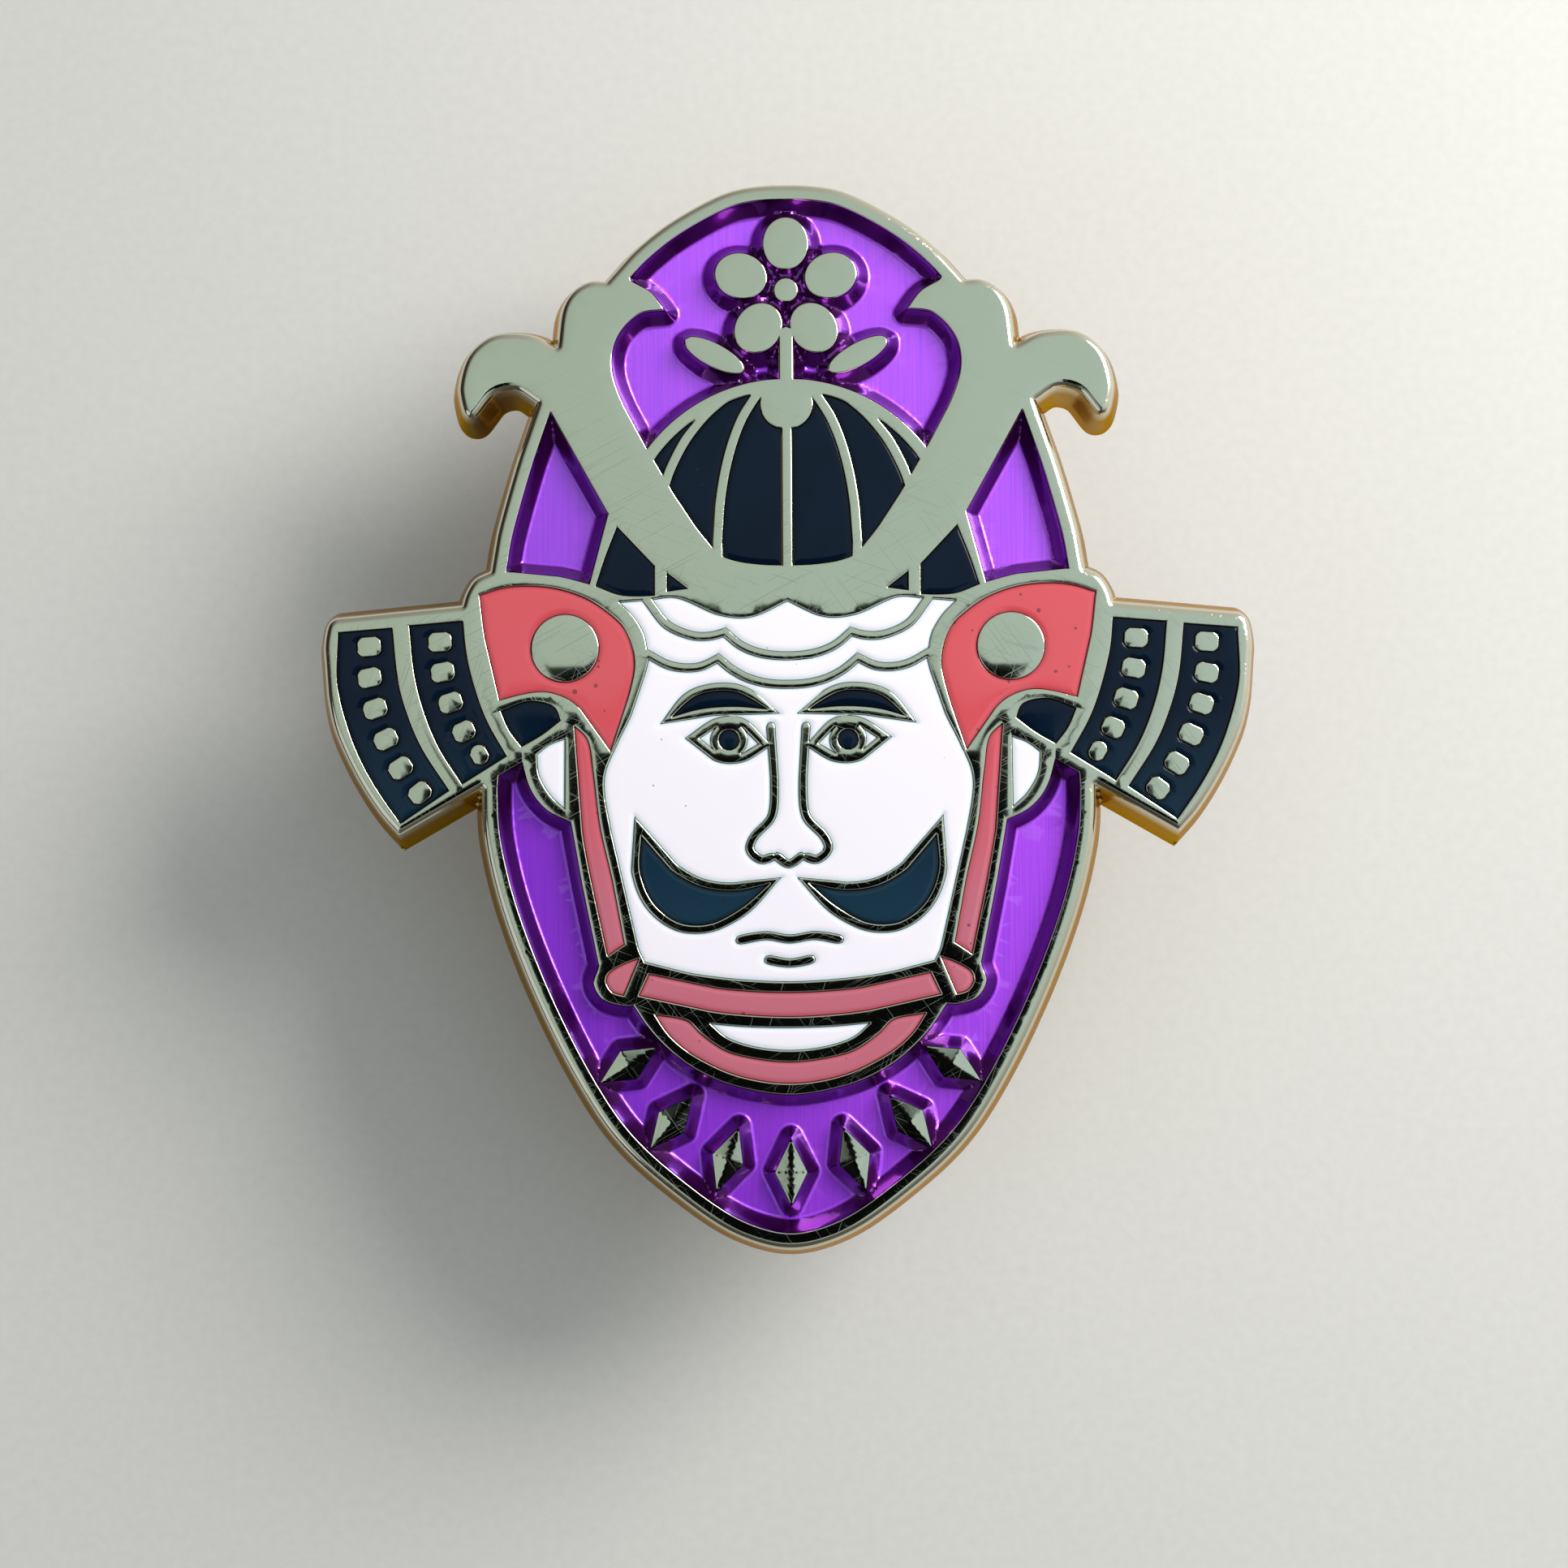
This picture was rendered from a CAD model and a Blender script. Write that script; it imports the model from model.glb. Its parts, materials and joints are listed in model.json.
"""Enamel lapel pin: struck plated metal, hard enamel, violet resin over a brushed ground, two clutches."""
import json
import math

import bmesh
import bpy
import numpy as np
from mathutils import Matrix, Vector, geometry, kdtree


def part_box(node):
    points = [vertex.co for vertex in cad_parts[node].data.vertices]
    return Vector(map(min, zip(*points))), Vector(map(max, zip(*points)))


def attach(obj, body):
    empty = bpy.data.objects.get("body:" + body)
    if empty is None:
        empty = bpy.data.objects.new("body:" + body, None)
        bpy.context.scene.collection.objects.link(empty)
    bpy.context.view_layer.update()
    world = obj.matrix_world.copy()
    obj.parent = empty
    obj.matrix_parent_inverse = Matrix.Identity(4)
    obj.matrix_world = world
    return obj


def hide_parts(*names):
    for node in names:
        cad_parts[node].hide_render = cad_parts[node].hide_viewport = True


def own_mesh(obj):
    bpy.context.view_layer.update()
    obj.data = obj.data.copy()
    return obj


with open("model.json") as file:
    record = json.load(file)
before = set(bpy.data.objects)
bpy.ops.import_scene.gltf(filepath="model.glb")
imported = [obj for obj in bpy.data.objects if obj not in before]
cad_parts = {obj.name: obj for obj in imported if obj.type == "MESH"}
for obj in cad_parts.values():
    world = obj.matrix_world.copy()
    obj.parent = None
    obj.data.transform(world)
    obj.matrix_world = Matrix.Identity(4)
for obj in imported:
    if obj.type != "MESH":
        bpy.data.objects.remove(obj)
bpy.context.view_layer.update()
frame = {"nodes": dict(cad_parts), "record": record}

MM = 0.001
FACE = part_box("plate")[1].z / MM
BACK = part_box("plate")[0].z / MM
BADGE = "badge"


# ---- Outlines on the face, in millimetres ----

CORNER = math.radians(48)  # sharper turns stay corners
STRAIGHT = 1.2  # longer steps are straight sides
CUT = 0.3  # so are the sides of a cut corner, longer than this
CUT_CORNER = math.radians(35)  # and between two such turns


def flat_outlines(node, height, facing=1):
    """Closed outlines of a CAD node's flat face at that height, with the material on their left."""
    mesh = bmesh.new()
    mesh.from_mesh(frame["nodes"][node].data)
    bmesh.ops.remove_doubles(mesh, verts=mesh.verts, dist=0.0005 * MM)
    mesh.normal_update()
    level = [face for face in mesh.faces
             if face.normal.z * facing > 0.9 and abs(face.calc_center_median().z / MM - height) < 0.005]
    on_level = set(level)
    follows = {}
    for face in level:
        for corner in face.loops:
            if not any(other in on_level for other in corner.edge.link_faces if other is not face):
                follows[corner.vert] = corner.link_loop_next.vert
    outlines = []
    while follows:
        ring = [next(iter(follows))]
        step = follows.pop(ring[0])
        while step in follows:
            ring.append(step)
            step = follows.pop(step)
        outlines.append(np.array([vert.co.xy for vert in ring[::facing]]) / MM)
    mesh.free()
    return outlines


def smoothed(outline, spacing):
    """The same outline along smooth curves, with its corners and its long straight sides kept."""
    ahead = np.roll(outline, -1, 0) - outline
    length = np.linalg.norm(ahead, axis=1)
    heading = ahead / length[:, None]
    turn = np.arccos(np.clip((heading * np.roll(heading, 1, 0)).sum(1), -1, 1))
    corner = turn > CORNER
    shorter = np.minimum(np.roll(length, 1), np.roll(length, -1))
    straight = (length > STRAIGHT) & (length > 2.2 * shorter)
    straight |= (length > CUT) & (turn > CUT_CORNER) & (np.roll(turn, -1) > CUT_CORNER)
    points = []
    count = len(outline)
    for i in range(count):
        after, beyond = (i + 1) % count, (i + 2) % count
        start, end = outline[i], outline[after]
        steps = max(1, round(length[i] / spacing))
        share = np.arange(steps)[:, None] / steps
        if straight[i] or (corner[i] and corner[after]):
            points.append(start + share * ahead[i])
            continue
        lead = outline[i - 1]
        if corner[i]:
            lead = start - ahead[i]
        elif straight[i - 1]:
            lead = start - heading[i - 1] * length[i]
        trail = outline[beyond]
        if corner[after]:
            trail = end + ahead[i]
        elif straight[after]:
            trail = end + heading[after] * length[i]
        spans = ((lead, start), (start, end), (end, trail))
        t0, t1, t2 = (max(np.linalg.norm(b - a), 1e-6) ** 0.5 for a, b in spans)
        leaving = t1 * ((start - lead) / t0 - (end - lead) / (t0 + t1) + (end - start) / t1)
        arriving = t1 * ((end - start) / t1 - (trail - start) / (t1 + t2) + (trail - end) / t2)
        squared, cubed = share ** 2, share ** 3
        points.append((2 * cubed - 3 * squared + 1) * start + (cubed - 2 * squared + share) * leaving
                      + (3 * squared - 2 * cubed) * end + (cubed - squared) * arriving)
    return np.concatenate(points)


class Borders:
    """Tells how far places lie from the nearest outline, more than 0 on its left."""

    def __init__(self, outlines):
        self.start = np.concatenate(outlines)
        self.end = np.concatenate([np.roll(outline, -1, 0) for outline in outlines])
        first = np.cumsum([0] + [len(outline) for outline in outlines[:-1]])
        self.before = np.concatenate([np.roll(np.arange(len(outline)), 1) + at
                                      for outline, at in zip(outlines, first)])
        self.tree = kdtree.KDTree(len(self.start))
        for i, (x, y) in enumerate(self.start):
            self.tree.insert((x, y, 0), i)
        self.tree.balance()

    def distance(self, places):
        near = np.array([self.tree.find((x, y, 0))[1] for x, y in places])
        found = []
        for side in (near, self.before[near]):
            start, along = self.start[side], self.end[side] - self.start[side]
            length = np.maximum(np.linalg.norm(along, axis=1), 1e-9)
            share = np.clip(((places - start) * along).sum(1) / length ** 2, 0, 1)
            gap = np.linalg.norm(places - start - share[:, None] * along, axis=1)
            left = np.stack([-along[:, 1], along[:, 0]], 1) / length[:, None]
            found.append((gap, left))
        (gap_a, left_a), (gap_b, left_b) = found
        left = left_a + left_b
        left = np.where((gap_b < gap_a - 1e-7)[:, None], left_b, left)
        left = np.where((gap_a < gap_b - 1e-7)[:, None], left_a, left)
        sign = np.where(((places - self.start[near]) * left).sum(1) >= 0, 1, -1)
        return sign * np.minimum(gap_a, gap_b)

    def hold(self, places):
        return self.distance(places) > 0


def rows_beside(outlines, borders, distances, side=1):
    """Rows of points along the outlines at each distance, on the left or, with side -1, the right."""
    fan = 0.3  # radians between the points that go round a corner
    rows = []
    for outline in outlines:
        ahead = np.roll(outline, -1, 0) - outline
        bearing = np.arctan2(ahead[:, 1], ahead[:, 0]) + side * math.pi / 2
        before = np.roll(bearing, 1)
        turn = (bearing - before + math.pi) % (2 * math.pi) - math.pi
        for point, start, bend in zip(outline, before, turn):
            opens = bend * side < -fan
            steps = math.ceil(abs(bend) / fan) if opens else 0
            bearings = [start + bend / 2]
            if opens:
                bearings = [start + bend * k / steps for k in range(steps + 1)]
            reach = 1 if opens else 1 / max(math.cos(bend / 2), 0.3)
            for angle in bearings:
                rows.append((*point, math.cos(angle) * reach, math.sin(angle) * reach))
    rows = np.array(rows)
    kept = []
    for distance in distances:
        places = rows[:, :2] + rows[:, 2:] * distance
        kept.append(places[borders.distance(places) * side > 0.97 * distance])
    return np.concatenate(kept)


def thinned(places, cell):
    """One place for each square of that size, so that no two lie almost together."""
    _, first = np.unique(np.round(places / cell).astype(int), axis=0, return_index=True)
    return places[np.sort(first)]


def grid_over(outlines, spacing):
    """Points in staggered rows over the whole of the outlines."""
    low, high = np.concatenate(outlines).min(0), np.concatenate(outlines).max(0)
    columns, rows = (np.arange(low[i], high[i], spacing) for i in range(2))
    across, up = np.meshgrid(columns, rows)
    across[::2] += spacing / 2
    return np.stack([across.ravel(), up.ravel()], 1)


def triangulated(outlines, places, inside):
    """Flat triangles between the outlines and through the places, where inside says so."""
    points = np.concatenate([*outlines, places]) if len(places) else np.concatenate(outlines)
    edges = []
    at = 0
    for outline in outlines:
        count = len(outline)
        edges += [(at + i, at + (i + 1) % count) for i in range(count)]
        at += count
    found = geometry.delaunay_2d_cdt([Vector(point) for point in points], edges, [], 0, 1e-6)
    flat = np.array([tuple(vert)[:2] for vert in found[0]])
    faces = np.array([face for face in found[2] if len(face) == 3])
    a, b, c = (flat[faces[:, i]] for i in range(3))
    area = np.cross(b - a, c - a)
    faces[area < 0] = faces[area < 0][:, ::-1]
    keep = (np.abs(area) > 1e-9) & inside((a + b + c) / 3)
    return flat, faces[keep]


# ---- Pieces ----

def in_scene(name, data):
    thing = bpy.data.objects.new(name, data)
    bpy.context.scene.collection.objects.link(thing)
    return thing


def new_piece(name, verts, faces):
    mesh = bpy.data.meshes.new(name)
    mesh.from_pydata([tuple(vert) for vert in verts], [], [tuple(face) for face in faces])
    return in_scene(name, mesh)


def alone(piece):
    bpy.ops.object.select_all(action="DESELECT")
    piece.select_set(True)
    bpy.context.view_layer.objects.active = piece


def apply_modifier(piece, kind, **settings):
    alone(piece)
    modifier = piece.modifiers.new(kind.lower(), kind)
    for name, value in settings.items():
        setattr(modifier, name, value)
    bpy.ops.object.modifier_apply(modifier=modifier.name)


def finished(piece, material, slot, body, *replaced, smooth=30):
    """Shades a piece, gives it its material and makes it stand for CAD nodes on their body."""
    alone(piece)
    bpy.ops.object.shade_smooth_by_angle(angle=math.radians(smooth))
    apply_modifier(piece, "WEIGHTED_NORMAL", keep_sharp=True, weight=100)
    piece.data.materials.clear()
    piece.data.materials.append(material)
    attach(piece, body)
    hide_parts(*replaced)
    return piece


def relief_piece(name, flat, faces, top, bottom, floors):
    """A closed piece: the relief, walls from its edges down to bottom, and the floors that close it."""
    edges = np.concatenate([faces[:, [0, 1]], faces[:, [1, 2]], faces[:, [2, 0]]])
    known = set(map(tuple, edges))
    rim = np.array([edge for edge in map(tuple, edges) if edge[::-1] not in known])
    count = len(flat)
    verts = [np.column_stack([flat, top]), np.column_stack([flat, bottom])]
    walls = np.column_stack([rim[:, 1], rim[:, 0], rim[:, 0] + count, rim[:, 1] + count])
    all_faces = [*map(tuple, faces), *map(tuple, walls)]
    at = 2 * count
    for floor_flat, floor_faces, height in floors:
        verts.append(np.column_stack([floor_flat, np.full(len(floor_flat), height)]))
        all_faces += [*map(tuple, floor_faces + at)]
        at += len(floor_flat)
    piece = new_piece(name, np.concatenate(verts) * MM, all_faces)
    alone(piece)
    bpy.ops.object.mode_set(mode="EDIT")
    bpy.ops.mesh.select_all(action="SELECT")
    bpy.ops.mesh.remove_doubles(threshold=0.0002 * MM)
    bpy.ops.mesh.select_all(action="DESELECT")
    bpy.ops.object.mode_set(mode="OBJECT")
    loose = bmesh.new()
    loose.from_mesh(piece.data)
    bmesh.ops.delete(loose, geom=[vert for vert in loose.verts if not vert.link_faces], context="VERTS")
    loose.to_mesh(piece.data)
    loose.free()
    return piece


def rounding(distance, radius):
    """How far a rounded edge of that radius has dropped at a distance inwards from it."""
    run = np.clip(1 - distance / radius, 0, 1)
    return radius * (1 - np.sqrt(1 - run ** 2))


EDGE_RADIUS = 0.05  # of a wire
BORDER_RADIUS = 0.3
DRAFT_WIDTH = 0.35  # of the flank, seen from above
LAND = 0.25  # height of the straight foot of the flank
CELL_FLOOR = FACE - 0.8
LOZENGES_TOP = -11.5  # only the lozenges lie wholly below this
LOZENGE_HALF = 0.5  # from a side of a lozenge to its ridges
FACET_DROP = 0.065


def struck_plate():
    """The plate: rounded wires and border, faceted lozenges, cells, drafted flank and flat back."""
    spacing = 0.11
    faces_up = [smoothed(outline, spacing) for outline in flat_outlines("plate", FACE)]
    size = [np.ptp(outline, axis=0).prod() for outline in faces_up]
    silhouette = faces_up.pop(int(np.argmax(size)))
    base = smoothed(flat_outlines("plate", BACK, facing=-1)[0], spacing)
    cell_borders = Borders(faces_up)
    face_border = Borders([silhouette])
    base_border = Borders([base])
    metal_borders = Borders([base, *faces_up])
    beside = [
        rows_beside(faces_up, cell_borders, [0.018, 0.036, 0.052]),
        rows_beside([silhouette], face_border, [0.02, 0.05, 0.1, 0.17, 0.24, 0.3]),
        rows_beside([silhouette], face_border, [0.12, 0.24], side=-1),
    ]
    wide = grid_over([base], 0.6)
    wide = wide[(metal_borders.distance(wide) > 0.12) & (face_border.distance(wide) > 0.3)]
    places = thinned(np.concatenate([*beside, wide]), 0.008)
    places = places[metal_borders.distance(places) > 0.009]
    lozenges = [outline for outline in faces_up if outline[:, 1].max() < LOZENGES_TOP]
    lozenge_borders = Borders(lozenges)
    facet_rows = rows_beside(lozenges, lozenge_borders, np.linspace(0.1, 0.95, 5) * LOZENGE_HALF)
    places = thinned(np.concatenate([places, facet_rows]), 0.008)
    flat, faces = triangulated([base, silhouette, *faces_up], places, metal_borders.hold)
    inward = face_border.distance(flat)
    from_cell = np.maximum(cell_borders.distance(flat), 0)
    from_lozenge = lozenge_borders.distance(flat)
    facet = FACET_DROP * np.clip(1 - from_lozenge / LOZENGE_HALF, 0, 1)
    facet[from_lozenge <= -1e-6] = 0
    dropped = np.maximum(rounding(from_cell, EDGE_RADIUS), facet)
    face = FACE - rounding(np.maximum(inward, 0), BORDER_RADIUS) - dropped
    draft = np.clip(-inward / DRAFT_WIDTH, 0, 1)
    flank = FACE - BORDER_RADIUS - draft * (FACE - BACK - BORDER_RADIUS - LAND)
    on_base = np.abs(base_border.distance(flat)) < 1e-4
    top = np.where(on_base, BACK + LAND, np.where(inward < -1e-6, flank, face))
    bottom = np.where(on_base, BACK, CELL_FLOOR)
    cells = triangulated([silhouette, *faces_up], [],
                         lambda at: face_border.hold(at) & (metal_borders.distance(at) < 0))
    back = triangulated([base], [], base_border.hold)
    floors = [(*cells, CELL_FLOOR), (back[0], back[1][:, ::-1], BACK)]
    return relief_piece("struck_plate", flat, faces, top, bottom, floors)


def poured(name, outlines, borders, places, height, bottom):
    """A filling between its outlines. Height gives its top at a distance inwards from them."""
    flat, faces = triangulated(outlines, places, borders.hold)
    top = height(borders.distance(flat))
    below, below_faces = triangulated(outlines, [], borders.hold)
    floors = [(below, below_faces[:, ::-1], bottom)]
    return relief_piece(name, flat, faces, top, np.full(len(flat), bottom), floors)


SHRINK = 0.035  # how far a pool of enamel lies lower at its edge
SHRINK_WIDTH = 0.22


def enamel_pool(node):
    """A pool of hard enamel, ground flush, that has shrunk a little along its edges."""
    bottom, top = (corner.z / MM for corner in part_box(node))
    outlines = [smoothed(outline, 0.12) for outline in flat_outlines(node, top)]
    borders = Borders(outlines)
    beside = rows_beside(outlines, borders, [0.05, 0.11, 0.17, 0.22])
    wide = grid_over(outlines, 0.5)
    wide = wide[borders.distance(wide) > 0.35]
    places = thinned(np.concatenate([beside, wide]), 0.035)
    return poured(f"{node}_pool", outlines, borders, places,
                  lambda inward: top - SHRINK * (1 - np.clip(inward / SHRINK_WIDTH, 0, 1)) ** 2, bottom)


SLOPE = 0.44  # width of a basin's sloping side
SLOPE_TOP = FACE - 0.07
BASIN_FLOOR = FACE - 0.66


def resin_basin(node):
    """Violet resin over the struck ground: steep sides round every wall and island, then a flat floor."""
    bottom, top = (corner.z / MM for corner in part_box(node))
    outlines = [smoothed(outline, 0.1) for outline in flat_outlines(node, top)]
    borders = Borders(outlines)
    beside = rows_beside(outlines, borders, [0.04, 0.1, 0.18, 0.26, 0.34, 0.4, 0.42, 0.46, 0.52])
    fine = grid_over(outlines, 0.13)
    inward = borders.distance(fine)
    fine = fine[(inward > 0.16) & (inward < 0.38)]
    wide = grid_over(outlines, 0.45)
    wide = wide[borders.distance(wide) > 0.85]
    places = thinned(np.concatenate([beside, fine, wide]), 0.05)
    depth = SLOPE_TOP - BASIN_FLOOR
    return poured(f"{node}_resin", outlines, borders, places,
                  lambda inward: SLOPE_TOP - depth * np.clip(inward / SLOPE, 0, 1) ** 0.85, bottom)


def spun(name, profile, centre, rounded, steps=96):
    """A turned piece: a profile of radii and heights in millimetres, its corners rounded, that is spun.

    A profile that starts on the axis ends there; any other is a closed ring.
    """
    ring = profile[0][0] > 0
    count = len(profile)
    mesh = bpy.data.meshes.new(name)
    mesh.from_pydata([(r * MM, 0, z * MM) for r, z in profile],
                     [(i, (i + 1) % count) for i in range(count if ring else count - 1)], [])
    piece = in_scene(name, mesh)
    for vert in mesh.vertices:
        vert.select = ring or 0 < vert.index < count - 1
    alone(piece)
    bpy.ops.object.mode_set(mode="EDIT")
    bpy.ops.mesh.bevel(offset=rounded * MM, segments=4, affect="VERTICES")
    bpy.ops.mesh.select_all(action="SELECT")
    bpy.ops.mesh.spin(steps=steps, angle=2 * math.pi, center=(0, 0, 0), axis=(0, 0, 1))
    bpy.ops.mesh.select_all(action="SELECT")
    bpy.ops.mesh.remove_doubles(threshold=0.0005 * MM)
    bpy.ops.mesh.normals_make_consistent(inside=False)
    bpy.ops.mesh.select_all(action="DESELECT")
    bpy.ops.object.mode_set(mode="OBJECT")
    mesh.transform(Matrix.Translation(centre))
    return piece


def broken_edges(piece, width, sharper=35):
    apply_modifier(piece, "BEVEL", width=width * MM, segments=3, limit_method="ANGLE",
                   angle_limit=math.radians(sharper))


def clutch_disc(name, centre):
    """The dish that lies against the cloth: a pressed bead, and a rim curled down."""
    disc = [(0.75, 5.45), (4.42, 5.45), (4.6, 5.33), (4.78, 5.45), (4.98, 5.45), (5.4, 5.2), (5.4, 4.9),
            (5.75, 4.9), (5.75, 5.3), (5.5, 5.66), (5.0, 5.8), (4.78, 5.8), (4.6, 5.69), (4.42, 5.8),
            (1.5, 5.8), (1.25, 5.72), (0.75, 5.72)]
    return spun(name, disc, centre, 0.09)


def clutch_cap(name, centre):
    """The drawn cup that carries the jaws, with a window on each side for them."""
    cup = [(0, 0.12), (1.3, 0.12), (1.6, 0), (3.1, 0), (3.36, 0.1), (3.5, 0.45), (3.5, 4.75), (3.72, 5.05),
           (4.3, 5.05), (4.3, 5.4), (3.15, 5.4), (3.15, 0.6), (2.95, 0.35), (1.75, 0.35), (1.4, 0.45),
           (0, 0.45)]
    piece = spun(name, cup, centre, 0.1)
    bpy.ops.mesh.primitive_cube_add(size=1, location=centre + Vector((0, 0, 2.25 * MM)))
    window = bpy.context.object
    window.scale = (16 * MM, 3 * MM, 2.2 * MM)
    bpy.ops.object.transform_apply(location=True, rotation=True, scale=True)
    apply_modifier(window, "BEVEL", width=0.3 * MM, segments=5)
    apply_modifier(piece, "BOOLEAN", operation="DIFFERENCE", solver="EXACT", object=window)
    bpy.data.objects.remove(window)
    broken_edges(piece, 0.05)
    return piece


def stepped(outline, spacing):
    """The same straight sides in shorter steps."""
    points = []
    for start, end in zip(outline, np.roll(outline, -1, 0)):
        steps = max(1, round(float(np.linalg.norm(end - start)) / spacing))
        points.append(start + np.arange(steps)[:, None] / steps * (end - start))
    return np.concatenate(points)


def clutch_wing(name, centre, height, side):
    """A jaw plate, slotted for the post, drawn out through its window and bent into a ribbed finger wing."""
    reach, bend, inner, half, narrow = 6.8, 4.35, -1.5, 2.2, 1.2
    tip = 0.9  # radius of its corners
    round_tip = [(reach - tip + tip * math.cos(t), half - tip + tip * math.sin(t))
                 for t in np.linspace(0, math.pi / 2, 9)]
    edge = [*round_tip, (bend + 0.8, half), (bend, narrow), (inner, narrow)]
    plan = np.array([(x, -y) for x, y in edge[::-1]] + edge)
    slot = np.array([(0.35 + math.copysign(0.35, math.sin(t)) + 0.6 * math.sin(t), 0.6 * math.cos(t))
                     for t in np.linspace(0.01, 2 * math.pi + 0.01, 32, endpoint=False)])
    outlines = [stepped(plan, 0.12), stepped(slot, 0.12)]
    borders = Borders(outlines)
    grid = grid_over(outlines, 0.13)
    grid = grid[borders.distance(grid) > 0.08]
    flat, faces = triangulated(outlines, grid, lambda at: borders.distance(at) > 0)
    lift = height + 1.5 * np.clip((flat[:, 0] - bend) / (reach - bend), 0, 1) ** 2
    for rib in (5.55, 6.0, 6.45):
        across = np.clip(1 - np.abs(flat[:, 0] - rib) / 0.16, 0, 1)
        along = np.clip((1.75 - np.abs(flat[:, 1])) / 0.2, 0, 1)
        lift -= 0.09 * np.sin(across * along * math.pi / 2) ** 2
    piece = new_piece(name, np.column_stack([flat, lift]) * MM, faces)
    apply_modifier(piece, "SOLIDIFY", thickness=0.45 * MM, offset=1)
    broken_edges(piece, 0.07, sharper=60)
    piece.data.transform(Matrix.Translation(centre) @ Matrix.Rotation(0 if side > 0 else math.pi, 4, "Z"))
    return piece


def clutch_spring(name, centre):
    """An open ring of round wire."""
    radius, height, opening = 2.45, 3.63, 0.72
    wire = bpy.data.curves.new(name, "CURVE")
    wire.dimensions = "3D"
    wire.bevel_depth = 0.17 * MM
    wire.bevel_resolution = 4
    wire.use_fill_caps = True
    angles = np.linspace(opening - math.pi / 2, 1.5 * math.pi - opening, 64)
    spline = wire.splines.new("POLY")
    spline.points.add(len(angles) - 1)
    for point, angle in zip(spline.points, angles):
        point.co = (radius * math.cos(angle) * MM, radius * math.sin(angle) * MM, height * MM, 1)
    alone(in_scene(name, wire))
    bpy.ops.object.convert(target="MESH")
    bpy.context.object.data.transform(Matrix.Translation(centre))
    return bpy.context.object


def mounting_post(name, centre):
    """A pointed pin with a groove for the jaws, on its solder pad."""
    post = [(0, 0.55), (0.1, 0.58), (0.55, 1.45), (0.55, 1.9), (0.44, 2.01), (0.44, 2.29), (0.55, 2.4),
            (0.55, BACK - 0.75), (0.72, BACK - 0.36), (1.3, BACK - 0.25), (1.5, BACK - 0.1), (1.5, BACK),
            (0, BACK)]
    return spun(name, post, centre, 0.05, steps=64)


# ---- Materials ----

def linear(hex_colour):
    """Linear RGBA of an sRGB hex colour."""
    channels = [int(hex_colour[i:i + 2], 16) / 255 for i in (1, 3, 5)]
    return [c / 12.92 if c <= 0.04045 else ((c + 0.055) / 1.055) ** 2.4 for c in channels] + [1.0]


def result_of(node):
    return next(output for output in node.outputs if output.enabled)


def node_in(tree, kind, values=()):
    """Adds a node. Values name its sockets, by name or number, or its own properties.

    A value that is a node or a socket is linked, a node by its first output in use.
    """
    node = tree.nodes.new(kind)
    for name, value in dict(values).items():
        if isinstance(value, bpy.types.Node):
            value = result_of(value)
        if isinstance(value, bpy.types.NodeSocket):
            tree.links.new(value, node.inputs[name])
        elif isinstance(name, str) and hasattr(node, name):
            setattr(node, name, value)
        else:
            node.inputs[name].default_value = value
    return node


def new_material(name, **settings):
    material = bpy.data.materials.new(name)
    material.use_nodes = True
    shader = material.node_tree.nodes["Principled BSDF"]
    for socket, value in settings.items():
        shader.inputs[socket.replace("_", " ")].default_value = value
    return material, material.node_tree, shader


def feed(shader, **nodes):
    """Links nodes to the shader's sockets."""
    for socket, node in nodes.items():
        shader.id_data.links.new(result_of(node), shader.inputs[socket.replace("_", " ")])


def streaks(tree, place, angle, length, width, threshold):
    """Fine straight scratches in one direction, as 0 or 1, from their length and width in millimetres."""
    along = node_in(tree, "ShaderNodeMapping", {
        "vector_type": "TEXTURE", "Rotation": (0, 0, angle), "Scale": (length * MM, width * MM, 5 * MM),
        "Vector": place})
    noise = node_in(tree, "ShaderNodeTexNoise", {"Scale": 1.0, "Detail": 0.0, "Vector": along})
    return node_in(tree, "ShaderNodeMapRange", {
        "From Min": threshold, "From Max": threshold + 0.06, "Value": noise})


def pits(tree, place, apart, size):
    """Small round pits, as 0 or 1, from their spacing and radius in millimetres."""
    cells = node_in(tree, "ShaderNodeTexVoronoi", {
        "Scale": 1 / (apart * MM), "Randomness": 1.0, "Vector": place})
    spread = node_in(tree, "ShaderNodeTexNoise", {
        "Scale": 0.2 / (apart * MM), "Detail": 2.0, "Vector": place})
    above = node_in(tree, "ShaderNodeMath", {"operation": "SUBTRACT", 0: spread, 1: 0.42})
    limit = node_in(tree, "ShaderNodeMath", {"operation": "MULTIPLY", 0: above, 1: 5 * size / apart})
    return node_in(tree, "ShaderNodeMath", {"operation": "LESS_THAN", 0: cells.outputs["Distance"], 1: limit})


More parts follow.
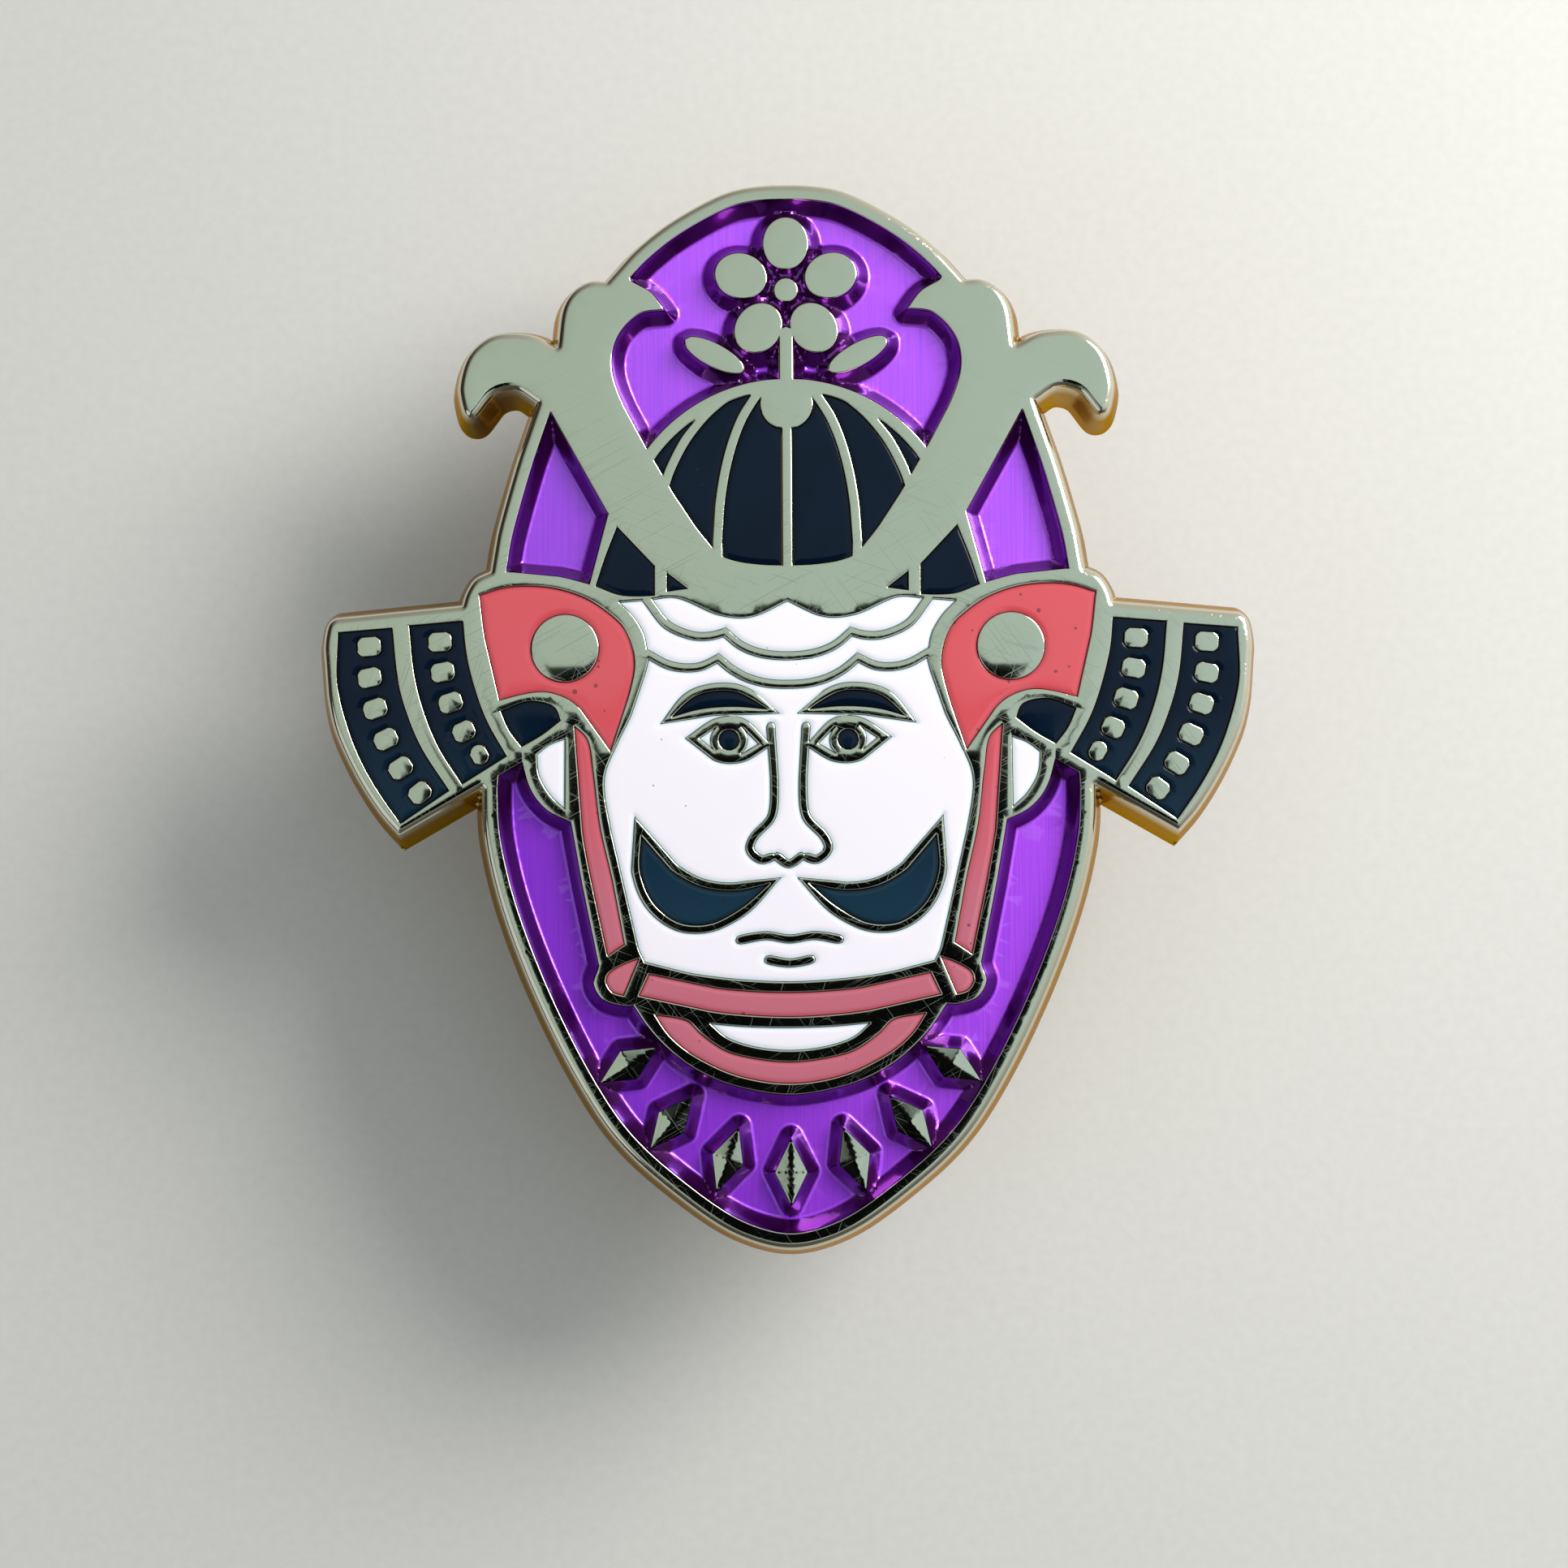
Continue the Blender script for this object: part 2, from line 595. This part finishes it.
def plated_metal():
    """Pale gold plating on struck metal: face polished flat, flank tumbled, back left as struck."""
    material, tree, shader = new_material("pale_gold_plating", Metallic=1.0)
    place = node_in(tree, "ShaderNodeTexCoord").outputs["Object"]
    height = node_in(tree, "ShaderNodeSeparateXYZ", {0: place}).outputs["Z"]
    on_top = node_in(tree, "ShaderNodeMapRange", {
        "From Min": (FACE - 0.75) * MM, "From Max": (FACE - 0.15) * MM, "Value": height})
    on_back = node_in(tree, "ShaderNodeMapRange", {
        "From Min": (BACK + 0.06) * MM, "From Max": (BACK + 0.01) * MM, "Value": height})
    blotches = node_in(tree, "ShaderNodeTexNoise", {"Scale": 1 / (6 * MM), "Detail": 3.0, "Vector": place})
    polished = node_in(tree, "ShaderNodeMix", {
        "data_type": "RGBA", 0: blotches, 6: linear("#D6D3BE"), 7: linear("#CECDB5")})
    colour = node_in(tree, "ShaderNodeMix", {
        "data_type": "RGBA", 0: on_top, 6: linear("#B69A6A"), 7: polished})
    glancing = node_in(tree, "ShaderNodeMix", {
        "data_type": "RGBA", 0: on_top, 6: linear("#E0B570"), 7: linear("#FFFFFF")})

    marks = pits(tree, place, 0.9, 0.04)
    for angle, length, width, threshold in ((0.5, 5, 0.03, 0.74), (-0.35, 3, 0.025, 0.76),
                                            (1.25, 7, 0.035, 0.76), (2.2, 4, 0.03, 0.76)):
        scratches = streaks(tree, place, angle, length, width, threshold)
        marks = node_in(tree, "ShaderNodeMath", {"operation": "MAXIMUM", 0: marks, 1: scratches})

    cloud = node_in(tree, "ShaderNodeMapRange", {"To Min": 0.06, "To Max": 0.11, "Value": blotches})
    duller = node_in(tree, "ShaderNodeMapRange", {"To Min": 0.1, "To Max": 0.0, "Value": on_top})
    rough = node_in(tree, "ShaderNodeMath", {"operation": "MULTIPLY_ADD", 0: marks, 1: 0.08, 2: cloud})
    rough = node_in(tree, "ShaderNodeMath", {"operation": "MULTIPLY_ADD", 0: on_back, 1: 0.16, 2: rough})
    rough = node_in(tree, "ShaderNodeMath", {"operation": "ADD", 0: rough, 1: duller})

    waves = node_in(tree, "ShaderNodeTexNoise", {"Scale": 1 / (2.2 * MM), "Detail": 1.0, "Vector": place})
    grain = node_in(tree, "ShaderNodeTexNoise", {"Scale": 1 / (0.16 * MM), "Detail": 3.0, "Vector": place})
    struck = node_in(tree, "ShaderNodeMath", {"operation": "MULTIPLY", 0: grain, 1: on_back})
    soft = node_in(tree, "ShaderNodeBump", {"Strength": 0.08, "Distance": 0.03 * MM, "Height": waves})
    sand = node_in(tree, "ShaderNodeBump", {
        "Strength": 0.5, "Distance": 0.03 * MM, "Height": struck, "Normal": soft})
    cut = node_in(tree, "ShaderNodeBump", {
        "Strength": 0.2, "Distance": 0.004 * MM, "invert": True, "Height": marks, "Normal": sand})
    feed(shader, Base_Color=colour, Specular_Tint=glancing, Roughness=rough, Normal=cut)
    return material


DIRT = "#2A2426"  # polishing dirt in the pits


def hard_enamel(name, colour, hazy, edge, pit_size, ior):
    """Fired and ground enamel: glassy, with faint clouds, an edge of its own colour where it has shrunk along
    the metal, a haze of wear towards the chin, and a few pits that hold polishing dirt."""
    material, tree, shader = new_material(name, Roughness=0.1, IOR=ior)
    place = node_in(tree, "ShaderNodeTexCoord").outputs["Object"]
    parts = node_in(tree, "ShaderNodeSeparateXYZ", {0: place})
    inside = node_in(tree, "ShaderNodeMapRange", {
        "From Min": (FACE - 0.08) * MM, "From Max": (FACE - 0.045) * MM, "Value": parts.outputs["Z"]})
    worn = node_in(tree, "ShaderNodeMapRange", {
        "From Min": 0.0, "From Max": -7 * MM, "To Max": 0.8, "Value": parts.outputs["Y"]})
    clouds = node_in(tree, "ShaderNodeTexNoise", {"Scale": 1 / (2.2 * MM), "Detail": 4.0, "Vector": place})
    cloudy = node_in(tree, "ShaderNodeMath", {"operation": "MULTIPLY_ADD", 0: clouds, 1: 0.2, 2: worn})
    body = node_in(tree, "ShaderNodeMix", {
        "data_type": "RGBA", 0: cloudy, 6: linear(colour), 7: linear(hazy)})
    body = node_in(tree, "ShaderNodeMix", {"data_type": "RGBA", 0: inside, 6: linear(edge), 7: body})
    spots = pits(tree, place, 0.55, pit_size)
    dirty = node_in(tree, "ShaderNodeMath", {"operation": "MULTIPLY", 0: spots, 1: 0.6})
    body = node_in(tree, "ShaderNodeMix", {"data_type": "RGBA", 0: dirty, 6: body, 7: linear(DIRT)})

    ripple = node_in(tree, "ShaderNodeTexNoise", {"Scale": 1 / (0.9 * MM), "Detail": 2.0, "Vector": place})
    soft = node_in(tree, "ShaderNodeBump", {"Strength": 0.15, "Distance": 0.02 * MM, "Height": ripple})
    pitted = node_in(tree, "ShaderNodeBump", {
        "Strength": 0.6, "Distance": 0.02 * MM, "invert": True, "Height": spots, "Normal": soft})
    feed(shader, Base_Color=body, Normal=pitted)
    return material


def violet_over_metal():
    """Clear violet resin over metal brushed up and down. It is thicker towards the lower left, and looks
    almost black where the ground slopes."""
    material, tree, shader = new_material("violet_resin", Coat_Weight=1.0, Coat_Roughness=0.04, Coat_IOR=1.5)
    place = node_in(tree, "ShaderNodeTexCoord").outputs["Object"]
    height = node_in(tree, "ShaderNodeSeparateXYZ", {0: place}).outputs["Z"]
    sloping = node_in(tree, "ShaderNodeMapRange", {
        "From Min": (BASIN_FLOOR + 0.02) * MM, "From Max": (BASIN_FLOOR + 0.09) * MM, "Value": height})
    # brushing lines 0.09 mm apart, coarser than real ones, so that they show
    brushed = node_in(tree, "ShaderNodeMapping", {
        "Scale": (1 / (0.09 * MM), 1 / (5 * MM), 1 / MM), "Vector": place})
    streak = node_in(tree, "ShaderNodeTexNoise", {"Scale": 1.0, "Detail": 2.0, "Vector": brushed})
    across = node_in(tree, "ShaderNodeVectorMath", {
        "operation": "DOT_PRODUCT", 0: place, 1: (1 / MM, 0.4 / MM, 0)})
    thin = node_in(tree, "ShaderNodeMapRange", {"From Min": -12, "From Max": 3, "Value": across})
    dark = node_in(tree, "ShaderNodeMix", {
        "data_type": "RGBA", 0: thin, 6: linear("#8226D8"), 7: linear("#A244FF")})
    light = node_in(tree, "ShaderNodeMix", {
        "data_type": "RGBA", 0: thin, 6: linear("#A038E3"), 7: linear("#D054FF")})
    ground = node_in(tree, "ShaderNodeMix", {"data_type": "RGBA", 0: streak, 6: dark, 7: light})
    colour = node_in(tree, "ShaderNodeMix", {
        "data_type": "RGBA", 0: sloping, 6: ground, 7: linear("#6A107C")})
    metallic = node_in(tree, "ShaderNodeMapRange", {"To Min": 0.35, "To Max": 0.92, "Value": sloping})
    rough = node_in(tree, "ShaderNodeMapRange", {"To Min": 0.34, "To Max": 0.2, "Value": sloping})
    flat = node_in(tree, "ShaderNodeMath", {"operation": "SUBTRACT", 0: 1.0, 1: sloping})
    lines = node_in(tree, "ShaderNodeMath", {"operation": "MULTIPLY", 0: streak, 1: flat})
    bump = node_in(tree, "ShaderNodeBump", {"Strength": 0.35, "Distance": 0.02 * MM, "Height": lines})
    feed(shader, Base_Color=colour, Metallic=metallic, Roughness=rough, Normal=bump)
    return material


def pressed_brass():
    """Yellow brass sheet, drawn and pressed: bright, with rubbed marks from handling."""
    material, tree, shader = new_material("pressed_brass", Metallic=1.0)
    place = node_in(tree, "ShaderNodeTexCoord").outputs["Object"]
    blotches = node_in(tree, "ShaderNodeTexNoise", {"Scale": 1 / (2.5 * MM), "Detail": 4.0, "Vector": place})
    colour = node_in(tree, "ShaderNodeMix", {
        "data_type": "RGBA", 0: blotches, 6: linear("#DDB86A"), 7: linear("#C79A4C")})
    marks = node_in(tree, "ShaderNodeMath", {
        "operation": "MAXIMUM", 0: streaks(tree, place, 0.4, 2.5, 0.04, 0.7),
        1: streaks(tree, place, 1.9, 2, 0.03, 0.7)})
    cloud = node_in(tree, "ShaderNodeMapRange", {"To Min": 0.16, "To Max": 0.3, "Value": blotches})
    rough = node_in(tree, "ShaderNodeMath", {"operation": "MULTIPLY_ADD", 0: marks, 1: 0.2, 2: cloud})
    bump = node_in(tree, "ShaderNodeBump", {"Strength": 0.3, "Distance": 0.015 * MM, "Height": blotches})
    feed(shader, Base_Color=colour, Roughness=rough, Normal=bump)
    return material


def spring_wire():
    """Drawn spring steel: grey, with lines along its drawing."""
    material, tree, shader = new_material("spring_wire", Metallic=1.0, Roughness=0.28)
    place = node_in(tree, "ShaderNodeTexCoord").outputs["Object"]
    grain = node_in(tree, "ShaderNodeTexNoise", {"Scale": 1 / (0.2 * MM), "Detail": 3.0, "Vector": place})
    colour = node_in(tree, "ShaderNodeMix", {
        "data_type": "RGBA", 0: grain, 6: linear("#B4B4B0"), 7: linear("#8C8C88")})
    feed(shader, Base_Color=colour)
    return material


# ---- The pin ----

PLATING = plated_metal()
BRASS = pressed_brass()
STEEL = spring_wire()
VIOLET = violet_over_metal()
ENAMELS = {
    "black_enamel": hard_enamel("black_enamel", "#020B1E", "#1B3647", "#080F16", pit_size=0.05, ior=1.26),
    "red_enamel": hard_enamel("red_enamel", "#D64D54", "#C06E80", "#B23E4A", pit_size=0.07, ior=1.52),
    "white_enamel": hard_enamel("white_enamel", "#F8F0F6", "#F6EEF6", "#C4DCE8", pit_size=0.03, ior=1.52),
}
SLOTS = {entry["node"]: entry["material_slot"] for entry in frame["record"]["subparts"]}

finished(struck_plate(), PLATING, "pale_gold_plating", BADGE, "plate", smooth=35)
for node, slot in sorted(SLOTS.items()):
    if slot in ENAMELS:
        finished(enamel_pool(node), ENAMELS[slot], slot, BADGE, node)
    elif slot == "violet_resin":
        finished(resin_basin(node), VIOLET, slot, BADGE, node, smooth=40)

for place in ("upper", "lower"):
    low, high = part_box(f"{place}_clutch_disc")
    centre = Vector(((low.x + high.x) / 2, (low.y + high.y) / 2, 0))
    disc, cap, spring, post = (
        f"{place}_{part}" for part in ("clutch_disc", "clutch_cap", "clutch_spring", "post"))
    finished(clutch_disc(f"{disc}_pressed", centre), BRASS, "clutch_brass", f"{place}_disc", disc)
    finished(clutch_cap(f"{cap}_drawn", centre), BRASS, "clutch_brass", f"{place}_cap", cap)
    for hand, height, side in (("right", 2.2, 1), ("left", 1.45, -1)):
        wing = f"{place}_clutch_wing_{hand}"
        bent = clutch_wing(f"{wing}_bent", centre, height, side)
        finished(bent, BRASS, "clutch_brass", f"{place}_{hand}_wing", wing)
    coil = finished(clutch_spring(f"{spring}_wire", centre), STEEL, "spring_steel", f"{place}_cap", spring)
    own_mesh(coil)
    finished(mounting_post(f"{post}_turned", centre), PLATING, "pale_gold_plating", BADGE, post)


# ---- Floor, light and camera ----

def paper_floor():
    """Matt pale paper, seamless."""
    bpy.ops.mesh.primitive_plane_add(size=1.2, location=(0, 0, -0.03 * MM))
    floor = bpy.context.object
    floor.name = "floor"
    material, tree, shader = new_material("pale_paper", Roughness=0.9)
    place = node_in(tree, "ShaderNodeTexCoord").outputs["Object"]
    fibre = node_in(tree, "ShaderNodeTexNoise", {"Scale": 1 / (0.4 * MM), "Detail": 4.0, "Vector": place})
    colour = node_in(tree, "ShaderNodeMix", {
        "data_type": "RGBA", 0: fibre, 6: linear("#CFCBC5"), 7: linear("#DAD6D0")})
    feed(shader, Base_Color=colour)
    floor.data.materials.append(material)


def soft_light(name, place, target, size, power, colour):
    light = bpy.data.lights.new(name, "AREA")
    light.shape = "DISK"
    light.size = size * MM
    light.energy = power
    light.color = linear(colour)[:3]
    lamp = in_scene(name, light)
    lamp.location = Vector(place) * MM
    lamp.rotation_euler = (Vector(target) - Vector(place)).to_track_quat("-Z", "Y").to_euler()


def dark_flag():
    """A black card over the lens end of the set, which the polished metal mirrors."""
    bpy.ops.mesh.primitive_plane_add(size=1.0, location=(-0.8 * MM, -30 * MM, (FACE + 95) * MM))
    card = bpy.context.object
    card.name = "dark_flag"
    card.scale = (42 * MM, 76 * MM, 1)
    material, _, _ = new_material("black_card", Base_Color=linear("#020203"), Roughness=1.0,
                                  Specular_IOR_Level=0.0)
    card.data.materials.append(material)
    card.visible_camera = False
    card.visible_shadow = False
    card.visible_diffuse = False


def studio_sky():
    """Grey overhead, the windowed side at the back on the right, and a dim room on the left and in front."""
    world = bpy.data.worlds.new("studio")
    bpy.context.scene.world = world
    world.use_nodes = True
    tree = world.node_tree
    direction = node_in(tree, "ShaderNodeTexCoord").outputs["Generated"]
    x, y, z = node_in(tree, "ShaderNodeSeparateXYZ", {0: direction}).outputs
    side = node_in(tree, "ShaderNodeMapRange", {"From Min": -0.75, "From Max": 0.75, "Value": x})
    behind = node_in(tree, "ShaderNodeMapRange", {
        "From Min": -0.75, "From Max": 0.1, "To Min": 0.12, "Value": y})
    bright = node_in(tree, "ShaderNodeMath", {"operation": "MULTIPLY", 0: side, 1: behind})
    walls = node_in(tree, "ShaderNodeMix", {
        "data_type": "RGBA", 0: bright, 6: linear("#3A3734"), 7: linear("#FFFFFF")})
    across = node_in(tree, "ShaderNodeMapRange", {"From Min": -0.22, "From Max": 0.22, "Value": x})
    ceiling = node_in(tree, "ShaderNodeMix", {
        "data_type": "RGBA", 0: across, 6: linear("#BCD0CC"), 7: linear("#CBE2E8")})
    up = node_in(tree, "ShaderNodeMapRange", {"From Min": 0.72, "From Max": 0.97, "Value": z})
    colour = node_in(tree, "ShaderNodeMix", {"data_type": "RGBA", 0: up, 6: walls, 7: ceiling})
    feed(tree.nodes["Background"], Color=colour)


def camera_above():
    camera = bpy.data.cameras.new("camera")
    camera.lens = 59.4
    camera.sensor_width = 36
    camera.clip_start = 0.001
    holder = in_scene("camera", camera)
    holder.location = Vector((-0.2, -7.3, FACE + 91)) * MM
    aim = Vector((-0.17, -2.55, FACE)) * MM
    holder.rotation_euler = (aim - holder.location).to_track_quat("-Z", "Y").to_euler()
    bpy.context.scene.camera = holder


paper_floor()
soft_light("key", (110, 75, 105), (0, 0, 5), 100, 0.3, "#FFFFFF")
soft_light("fill", (-120, -60, 90), (0, 0, 5), 120, 0.03, "#EAF0FF")
dark_flag()
studio_sky()
camera_above()
bpy.context.scene.view_settings.view_transform = "Standard"
